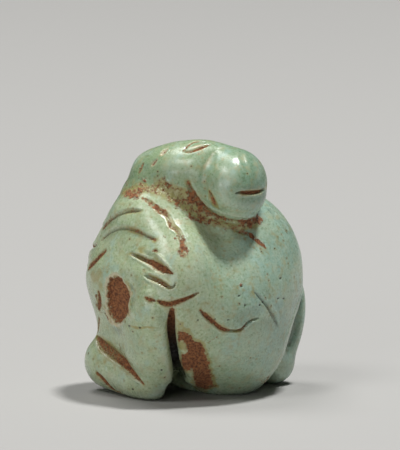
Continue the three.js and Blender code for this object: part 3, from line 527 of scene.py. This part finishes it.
def onStone(tree, path):
    pieces = [[]]
    for u, v in curveThrough(path, layout["spacing"]):
        hit = tree.ray_cast(Vector(placeOf(u, v, layout["start"])), Vector(-toCamera))[0]
        if hit is None:
            continue
        if pieces[-1] and (hit - pieces[-1][-1]).length > layout["leap"]:
            pieces.append([])
        pieces[-1].append(hit)
    return np.array(max(pieces, key=len))


def headAxis():
    turn = math.radians(headStone["turn"])
    return np.array(headStone["nape"]) - underside, np.array([math.cos(turn), math.sin(turn), 0])


def mirrored(run, how, tree, nearest):
    if how == "flank":
        middle, across = -underside, np.array([0, 1, 0])
    else:
        middle, along = headAxis()
        across = np.array([-along[1], along[0], 0])
    beside = -((run - middle) @ across)
    turned = run + 2 * beside[:, None] * across
    return np.array([tree.find_nearest(Vector(p))[0] for p in turned[beside > nearest]])


def routesOf(tree):
    routes = []
    for group in (headCuts, shoulderCuts, legCuts, haunchCuts):
        for name, cut in group.items():
            run = onStone(tree, cut["path"])
            if len(run) < layout["fewest"]:
                print("no route on the stone for", name)
                continue
            routes.append((cut, run, 1))
            if "twin" not in cut:
                continue
            twin = mirrored(run, cut["twin"], tree, cut.get("twinFrom", layout["twinFrom"]))
            if len(twin) >= layout["fewestTwin"]:
                routes.append((cut, twin, -1))
    print("laid", len(routes), "routes on the stone")
    return routes


def againstRoute(points, normals, run, reach):
    low = run.min(axis=0) - reach
    high = run.max(axis=0) + reach
    near = np.nonzero(((points > low) & (points < high)).all(axis=1))[0]
    starts = run[:-1]
    along = run[1:] - starts
    lengths = np.maximum((along ** 2).sum(axis=1), 1e-9)
    offset = points[near][:, None, :] - starts[None]
    part = np.clip((offset * along[None]).sum(axis=2) / lengths[None], 0, 1)
    gap = offset - part[..., None] * along[None]
    distance = np.sqrt((gap ** 2).sum(axis=2))
    best = distance.argmin(axis=1)
    rows = np.arange(len(near))
    distance = distance[rows, best]
    keep = distance < reach
    near = near[keep]
    best = best[keep]
    rows = rows[keep]
    walked = np.concatenate([[0], np.cumsum(np.sqrt(lengths))])
    share = (walked[best] + part[rows, best] * np.sqrt(lengths[best])) / walked[-1]
    side = np.cross(normals[near], along[best])
    side = side / np.maximum(np.linalg.norm(side, axis=1), 1e-9)[:, None]
    across = (gap[rows, best] * side).sum(axis=1)
    return near, distance[keep], across, share


def outlineDepth(u, v, outline):
    corners = np.array(outline, float)
    following = np.roll(corners, -1, axis=0)
    points = np.stack([u, v], axis=1)
    along = following - corners
    offset = points[:, None] - corners[None]
    part = np.clip((offset * along).sum(axis=2) / (along ** 2).sum(axis=1), 0, 1)
    distance = np.sqrt(((offset - part[..., None] * along) ** 2).sum(axis=2)).min(axis=1)
    crossing = ((corners[None, :, 1] > v[:, None]) != (following[None, :, 1] > v[:, None]))
    slope = along[:, 0] / np.where(along[:, 1] == 0, 1e-9, along[:, 1])
    hit = u[:, None] < corners[None, :, 0] + slope * (v[:, None] - corners[None, :, 1])
    inside = (crossing & hit).sum(axis=1) % 2 == 1
    return np.where(inside, distance, -distance)


def roughBlock():
    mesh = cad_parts["carving"].data.copy()
    beast = bpy.data.objects.new("turquoiseBeast", mesh)
    bpy.context.collection.objects.link(beast)
    bpy.ops.object.select_all(action="DESELECT")
    beast.select_set(True)
    bpy.context.view_layer.objects.active = beast
    bpy.ops.object.mode_set(mode="EDIT")
    bpy.ops.mesh.select_all(action="SELECT")
    bpy.ops.mesh.remove_doubles(threshold=block["weld"] * mm)
    bpy.ops.object.mode_set(mode="OBJECT")
    remesh = beast.modifiers.new("evenGrain", "REMESH")
    remesh.mode = "VOXEL"
    remesh.voxel_size = block["grain"] * mm
    bpy.ops.object.modifier_apply(modifier=remesh.name)
    bpy.ops.object.mode_set(mode="EDIT")
    bpy.ops.mesh.select_all(action="SELECT")
    bpy.ops.mesh.vertices_smooth(factor=0.5, repeat=block["rubs"])
    bpy.ops.mesh.select_all(action="DESELECT")
    bpy.ops.object.mode_set(mode="OBJECT")
    print("rough block", len(beast.data.vertices), "points")
    return beast


def towardsView(points, normals):
    u, v, w = inView(points)
    return u, v, (normals @ toCamera > photo["grazing"]) & (w > 0)


def closerPoints(beast, routes):
    mesh = beast.data
    points = takePoints(mesh)
    normals = takeNormals(mesh)
    wanted = np.zeros(len(points), bool)
    for cut, run, hand in routes:
        reach = np.max(cut["width"]) / 2 + block["fineReach"]
        wanted[againstRoute(points, normals, run, reach)[0]] = True
    u, v, facing = towardsView(points, normals)
    for place in (*sunkPlaces.values(), neckCrumbs):
        wanted |= facing & (outlineDepth(u, v, place["outline"]) > -block["placeReach"])
    for pu, pv in pits:
        wanted |= facing & (np.hypot(u - pu, v - pv) < pitShape["reach"] * pitShape["radius"])
    faces = np.array([any(wanted[i] for i in face.vertices) for face in mesh.polygons])
    mesh.polygons.foreach_set("select", faces)
    bpy.ops.object.mode_set(mode="EDIT")
    bpy.ops.mesh.select_mode(type="FACE")
    bpy.ops.mesh.subdivide(number_cuts=1, ngon=False)
    bpy.ops.mesh.vertices_smooth(factor=0.5, repeat=block["fineRubs"])
    bpy.ops.object.mode_set(mode="OBJECT")
    triangles = sum(len(face.vertices) - 2 for face in mesh.polygons)
    print("closer points", len(mesh.vertices), "points", triangles, "triangles")


def wave(points, size, octaves=3):
    return np.array([noise.fractal(Vector(p / size), 1.0, 2.0, octaves) for p in points])


def mostOf(mark, spot, strength):
    mark[spot] = np.maximum(mark[spot], strength)


def cutRoutes(points, normals, routes, lift, marks):
    shape = cutShape
    for cut, run, hand in routes:
        reach = np.max(cut["width"]) / 2 + shape["reach"]
        near, distance, across, share = againstRoute(points, normals, run, reach)
        half = spread(cut["width"], share) / 2
        gone = distance / half
        ends = np.clip(np.minimum(share, 1 - share) * shape["endRise"], 0, 1)
        deep = spread(cut["depth"], share) * (shape["endDepth"] + (1 - shape["endDepth"]) * ends)
        lift[near] -= deep * (1 - smoothStep(shape["floor"], shape["rim"], gone))
        both = cut.get("lip", 0)
        lips = np.where(across * hand > 0, cut.get("leftLip", both), cut.get("rightLip", both))
        lift[near] += lips * swell(gone, shape["lipAt"], shape["lipSoft"]) * ends
        if "step" in cut:
            fall = np.exp(-np.abs(across) / shape["stepFade"]) * (distance < half + shape["stepReach"])
            lift[near] += cut["step"] / 2 * np.tanh(across * hand / half) * fall * ends
        for mark, wide in shape["holds"].items():
            if mark in cut:
                thin = smoothStep(wide * shape["holdsFrom"], wide * shape["holdsTo"], gone)
                mostOf(marks[mark], near, spread(cut[mark], share) * (1 - thin))
        if "earth" in cut:
            thin = smoothStep(shape["stainFrom"], shape["stainTo"], gone)
            mostOf(marks["ochre"], near, rimStain * spread(cut["earth"], share) * (1 - thin))


def sinkPlaces(points, u, v, facing, lift, marks):
    shape = sunkShape
    for place in sunkPlaces.values():
        inwards = outlineDepth(u, v, place["outline"])
        spot = np.nonzero(facing & (inwards > shape["reach"]))[0]
        inwards = inwards[spot] + shape["wander"] * wave(points[spot], shape["wanderSize"])
        grit = wave(points[spot], shape["gritSize"]) * place["grit"]
        lift[spot] += smoothStep(shape["wallFrom"], place["wall"], inwards) * (grit - place["depth"])
        lift[spot] += place["lip"] * swell(inwards, shape["lipAt"], shape["lipSoft"])
        mostOf(marks["earth"], spot, smoothStep(shape["earthFrom"], shape["earthTo"], inwards))
        mostOf(marks["ochre"], spot, rimStain * smoothStep(shape["stainFrom"], shape["stainTo"], inwards))
        mostOf(marks["cream"], spot, place["cream"] * swell(inwards, shape["creamAt"], shape["creamSoft"]))


def drillPits(u, v, facing, lift, marks):
    for pu, pv in pits:
        gone = np.hypot(u - pu, v - pv) / pitShape["radius"]
        spot = facing & (gone < pitShape["rim"])
        lift[spot] -= pitShape["depth"] * (1 - smoothStep(pitShape["floor"], pitShape["rim"], gone[spot]))
        mostOf(marks["pit"], spot, 1 - smoothStep(pitShape["stainFrom"], pitShape["stainTo"], gone[spot]))


def stain(points, u, v, facing, marks):
    size = spotShape["wanderSize"]
    u = u + spotShape["wander"] * wave(points, size, 2)
    v = v + spotShape["wander"] * wave(points + spotShape["elsewhere"], size, 2)
    for mark, spots in (("loose", earthSpots), ("ochre", ochreSpots), ("cream", creamSpots)):
        for su, sv, radius, strength in spots:
            gone = np.hypot(u - su, v - sv) / radius
            mostOf(marks[mark], facing, (np.exp(-gone ** 2) * strength)[facing])
    for su, sv, radius, strength in bareSpots:
        gone = np.hypot(u - su, v - sv) / radius
        marks["earth"] *= 1 - strength * np.exp(-gone ** 4) * facing


def strewCrumbs(points, u, v, facing, lift, marks):
    inwards = outlineDepth(u, v, neckCrumbs["outline"])
    inside = smoothStep(-neckCrumbs["soft"] / 2, neckCrumbs["soft"], inwards) * facing
    mostOf(marks["loose"], slice(None), neckCrumbs["earth"] * inside)
    mostOf(marks["ochre"], slice(None), neckCrumbs["ochre"] * inside)
    broken = marks["loose"] + neckCrumbs["broken"] * wave(points, neckCrumbs["size"], 2)
    lift += neckCrumbs["proud"] * inside * smoothStep(neckCrumbs["from"], neckCrumbs["to"], broken)


def tintStone(points, u, marks):
    nape, along = headAxis()
    part = np.clip((points - nape) @ along, 0, headStone["length"])
    off = np.linalg.norm(points - nape - part[:, None] * along, axis=1) - headStone["radius"]
    marks["head"] = 1 - smoothStep(-headStone["soft"], headStone["soft"], off)
    wander = warmStone["wander"] * wave(points, warmStone["wanderSize"], 2)
    marks["warm"] = smoothStep(warmStone["from"], warmStone["to"], u + wander)


def carve(beast, routes):
    mesh = beast.data
    points = takePoints(mesh)
    edges = edgesOf(mesh)
    normals = rubbed(takeNormals(mesh), edges, block["directionRubs"])
    normals = normals / np.linalg.norm(normals, axis=1)[:, None]
    u, v, facing = towardsView(points, normals)
    lift = wave(points, block["unevenSize"], 2) * block["unevenness"]
    marks = {name: np.zeros(len(points)) for name in ("earth", "loose", "ochre", "cream", "pit", "paintedShade")}
    cutRoutes(points, normals, routes, lift, marks)
    sinkPlaces(points, u, v, facing, lift, marks)
    drillPits(u, v, facing, lift, marks)
    stain(points, u, v, facing, marks)
    strewCrumbs(points, u, v, facing, lift, marks)
    points = points + normals * lift[:, None]
    points[points[:, 2] < block["soleHeight"], 2] = 0
    givePoints(mesh, points)
    # hollow: how deep a point lies below its rubbed neighbours, which drives painted shade; edge: how far it
    # stands proud, which gets a paler tint
    deep = ((rubbed(points, edges, block["hollowRubs"]) - points) * normals).sum(axis=1)
    marks["hollow"] = np.clip(deep / block["hollowDepth"], 0, 1)
    marks["edge"] = np.clip(-deep / block["hollowDepth"], 0, 1)
    tintStone(points, u, marks)
    for name, values in marks.items():
        layer = mesh.attributes.new(name, "FLOAT", "POINT")
        layer.data.foreach_set("value", values.astype(np.float32))
    mesh.polygons.foreach_set("use_smooth", np.ones(len(mesh.polygons), bool))
    print("carved", len(points), "points")


# Wax-polished natural turquoise: pale blue-green and clouded, with pinholes, cream veins and earth left in
# the cuts. The wax gives the eye soft bright lights on a stone that is matte where the earth lies. Painted
# shade darkens its hollows and, near black, its deepest grooves; a few raised lips carry a pale painted
# highlight.
turquoise = {
    "warm": "A9BA93",
    "cool": "A0BFAC",
    "index": 1.61,
    "patterns": {    # mm across a patch, octaves and roughness of each
        "mottle": (4.5, 2, 0.5),
        "cloud": (1.3, 4, 0.55),
        "veil": (2.6, 3, 0.6),
        "speckle": (0.28, 3, 0.65),
        "grit": (0.24, 4, 0.7),
        "ragged": (0.22, 3, 0.6),
        "crumble": (0.55, 4, 0.75),
        "dirt": (0.9, 4, 0.65),
    },
    "marks": ("earth", "loose", "ochre", "cream", "paintedShade", "pit", "hollow", "edge", "head", "warm"),
    # Each layer in turn: what shows it, from what to what, its most, colour and mixing, and what breaks it up
    "layers": [
        {"by": "mottle", "from": 0.4, "to": 0.65, "most": 0.4, "colour": "C0CBA6"},
        {"by": "cloud", "from": 0.45, "to": 0.75, "most": 0.45, "colour": "C6D0B4"},
        {"by": "veil", "from": 0.5, "to": 0.75, "most": 0.45, "colour": "7E9A80"},
        {"by": "speckle", "from": 0.48, "to": 0.32, "most": 0.6, "colour": "75885F"},
        {"by": "speckle", "from": 0.53, "to": 0.7, "most": 0.5, "colour": "CBD8C4"},
        {"by": "head", "from": 0, "to": 1, "most": 0.9, "colour": "CAD9D0", "mix": "MULTIPLY"},
        {"by": "veil", "from": 0.47, "to": 0.3, "most": 0.4, "colour": "A5C6BE"},
        {"by": "dirt", "from": 0.48, "to": 0.7, "most": 0.5, "colour": "A9A273"},
        {"by": "ochre", "from": 0.2, "to": 0.85, "most": 0.85, "colour": "9C9356", "broken": ("dirt", 1.4)},
        # cream: pale veins, and on the bore's rim and the wing's lip partly a painted highlight
        {"by": "cream", "from": 0.1, "to": 0.9, "most": 0.8, "colour": "D3C3A0"},
        {"by": "edge", "from": 0.2, "to": 1, "most": 0.25, "colour": "D2DFD0"},
        # painted shade: hollows are darkened, where shade falls in them
        {"by": "hollow", "from": 0.1, "to": 1, "most": 0.5, "colour": "4A4A30", "mix": "MULTIPLY"},
        {"by": "pit", "from": 0.3, "to": 0.8, "most": 0.85, "colour": "2A1C12"},
    ],
    "pinholes": {
        "apart": 0.9,         # mm
        "share": 0.35,        # of the cells have one
        "inner": 0.6,         # shares of a radius, where its colour is full and where it has gone
        "outer": 1.3,
        "rings": [{"radius": 0.2, "most": 0.5, "colour": "9C8E5C"},    # the stain round a hole
                  {"radius": 0.07, "most": 1, "colour": "1E1813"}],    # the hole
    },
    "earth": {
        "light": "9E693E",
        "grains": [{"from": 0.62, "to": 0.45, "colour": "7A4727"},
                   {"from": 0.48, "to": 0.34, "colour": "452713"}],
        # colour of the near-black painted shade in the deepest grooves
        "paintedShade": "120D09",
        "roughness": 0.9,
        "ragged": 2.0,        # how far its edge is broken up
        "from": 0.2,
        "to": 0.85,
    },
    "crumbs": {"ragged": 3.0, "from": 0.25, "to": 0.8, "least": 0.03},
    "polish": {"from": 0.3, "to": 0.7, "best": 0.22, "worst": 0.34},    # best and worst are roughness
    "relief": {"depth": 0.03, "earth": 2.4, "hole": -1.5},    # mm, and the shares of earth and hole
}


def brokenUp(tree, mask, pattern, much):
    centred = addNode(tree, "ShaderNodeMath", {"operation": "SUBTRACT", "Value": pattern, "Value_001": 0.5})
    return addNode(tree, "ShaderNodeMath", {"operation": "MULTIPLY_ADD", "Value": centred,
                   "Value_001": much, "Value_002": mask})


def patternsOf(tree, place):
    look = {}
    for name, (size, octaves, roughness) in turquoise["patterns"].items():
        look[name] = addNode(tree, "ShaderNodeTexNoise", {"Vector": place, "Scale": 1 / (size * mm),
                             "Detail": octaves, "Roughness": roughness})
    for name in turquoise["marks"]:
        look[name] = addNode(tree, "ShaderNodeAttribute", {"attribute_name": name})
    return look


def cloudedStone(tree, look):
    tone = addNode(tree, "ShaderNodeMix", {"data_type": "RGBA", "Factor": look["warm"],
                   "A": colour(turquoise["cool"]), "B": colour(turquoise["warm"])})
    for layer in turquoise["layers"]:
        mask = look[layer["by"]]
        if "broken" in layer:
            pattern, much = layer["broken"]
            mask = brokenUp(tree, mask, look[pattern], much)
        share = addNode(tree, "ShaderNodeMapRange", {"interpolation_type": "SMOOTHSTEP", "Value": mask,
                        "From Min": layer["from"], "From Max": layer["to"], "To Max": layer["most"]})
        tone = addNode(tree, "ShaderNodeMix", {"data_type": "RGBA", "blend_type": layer.get("mix", "MIX"),
                       "Factor": share, "A": tone, "B": colour(layer["colour"])})
    return tone


def pinholed(tree, place, tone):
    holes = turquoise["pinholes"]
    cells = addNode(tree, "ShaderNodeTexVoronoi", {"Vector": place, "Scale": 1 / (holes["apart"] * mm)})
    dice = addNode(tree, "ShaderNodeSeparateColor", {"Color": cells.node.outputs["Color"]})
    chosen = addNode(tree, "ShaderNodeMath", {"operation": "LESS_THAN", "Value": dice,
                     "Value_001": holes["share"]})
    for ring in holes["rings"]:
        radius = ring["radius"] / holes["apart"]
        near = addNode(tree, "ShaderNodeMapRange", {"interpolation_type": "SMOOTHSTEP", "Value": cells,
                       "From Min": radius * holes["outer"], "From Max": radius * holes["inner"],
                       "To Max": ring["most"]})
        hole = addNode(tree, "ShaderNodeMath", {"operation": "MULTIPLY", "Value": near, "Value_001": chosen})
        tone = addNode(tree, "ShaderNodeMix", {"data_type": "RGBA", "Factor": hole, "A": tone,
                       "B": colour(ring["colour"])})
    return tone, hole


def whereEarthLies(tree, look):
    packed = turquoise["earth"]
    earth = addNode(tree, "ShaderNodeMapRange", {"interpolation_type": "SMOOTHSTEP",
                    "Value": brokenUp(tree, look["earth"], look["ragged"], packed["ragged"]),
                    "From Min": packed["from"], "From Max": packed["to"]})
    loose = turquoise["crumbs"]
    crumbs = addNode(tree, "ShaderNodeMapRange", {"interpolation_type": "SMOOTHSTEP",
                     "Value": brokenUp(tree, look["loose"], look["crumble"], loose["ragged"]),
                     "From Min": loose["from"], "From Max": loose["to"]})
    held = addNode(tree, "ShaderNodeMath", {"operation": "GREATER_THAN", "Value": look["loose"],
                   "Value_001": loose["least"]})
    crumbs = addNode(tree, "ShaderNodeMath", {"operation": "MULTIPLY", "Value": crumbs, "Value_001": held})
    return addNode(tree, "ShaderNodeMath", {"operation": "MAXIMUM", "Value": earth, "Value_001": crumbs})


def packedWithEarth(tree, look, tone, earth):
    soil = colour(turquoise["earth"]["light"])
    for grain in turquoise["earth"]["grains"]:
        share = addNode(tree, "ShaderNodeMapRange", {"interpolation_type": "SMOOTHSTEP",
                        "Value": look["grit"], "From Min": grain["from"], "From Max": grain["to"]})
        soil = addNode(tree, "ShaderNodeMix", {"data_type": "RGBA", "Factor": share, "A": soil,
                       "B": colour(grain["colour"])})
    tone = addNode(tree, "ShaderNodeMix", {"data_type": "RGBA", "Factor": earth, "A": tone, "B": soil})
    # painted shade: the deepest grooves are darkened towards near black
    return addNode(tree, "ShaderNodeMix", {"data_type": "RGBA", "Factor": look["paintedShade"], "A": tone,
                   "B": colour(turquoise["earth"]["paintedShade"])})


def glossOf(tree, look, earth):
    polish = turquoise["polish"]
    gloss = addNode(tree, "ShaderNodeMapRange", {"Value": look["dirt"], "From Min": polish["from"],
                    "From Max": polish["to"], "To Min": polish["best"], "To Max": polish["worst"]})
    return addNode(tree, "ShaderNodeMix", {"data_type": "FLOAT", "Factor": earth, "A": gloss,
                   "B": turquoise["earth"]["roughness"]})


def grittyRelief(tree, look, earth, hole):
    relief = turquoise["relief"]
    grit = addNode(tree, "ShaderNodeMath", {"operation": "MULTIPLY", "Value": look["grit"],
                   "Value_001": earth})
    height = addNode(tree, "ShaderNodeMath", {"operation": "MULTIPLY_ADD", "Value": grit,
                     "Value_001": relief["earth"], "Value_002": look["dirt"]})
    height = addNode(tree, "ShaderNodeMath", {"operation": "MULTIPLY_ADD", "Value": hole,
                     "Value_001": relief["hole"], "Value_002": height})
    return addNode(tree, "ShaderNodeBump", {"Strength": 1.0, "Distance": relief["depth"] * mm,
                   "Height": height})


def turquoiseMaterial():
    material, tree = emptyMaterial("waxPolishedTurquoise")
    place = addNode(tree, "ShaderNodeTexCoord", {}).node.outputs["Object"]
    look = patternsOf(tree, place)
    tone, hole = pinholed(tree, place, cloudedStone(tree, look))
    earth = whereEarthLies(tree, look)
    shader = addNode(tree, "ShaderNodeBsdfPrincipled", {"IOR": turquoise["index"],
                     "Base Color": packedWithEarth(tree, look, tone, earth),
                     "Roughness": glossOf(tree, look, earth),
                     "Normal": grittyRelief(tree, look, earth, hole)})
    addNode(tree, "ShaderNodeOutputMaterial", {"Surface": shader})
    print("material", material.name)
    return material


def makeBeast():
    beast = roughBlock()
    routes = routesOf(treeOf(beast.data))
    closerPoints(beast, routes)
    carve(beast, routes)
    beast.data.materials.clear()
    beast.data.materials.append(turquoiseMaterial())
    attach(beast, "root")
    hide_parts("carving")


addCamera()
setStage()
makeBeast()
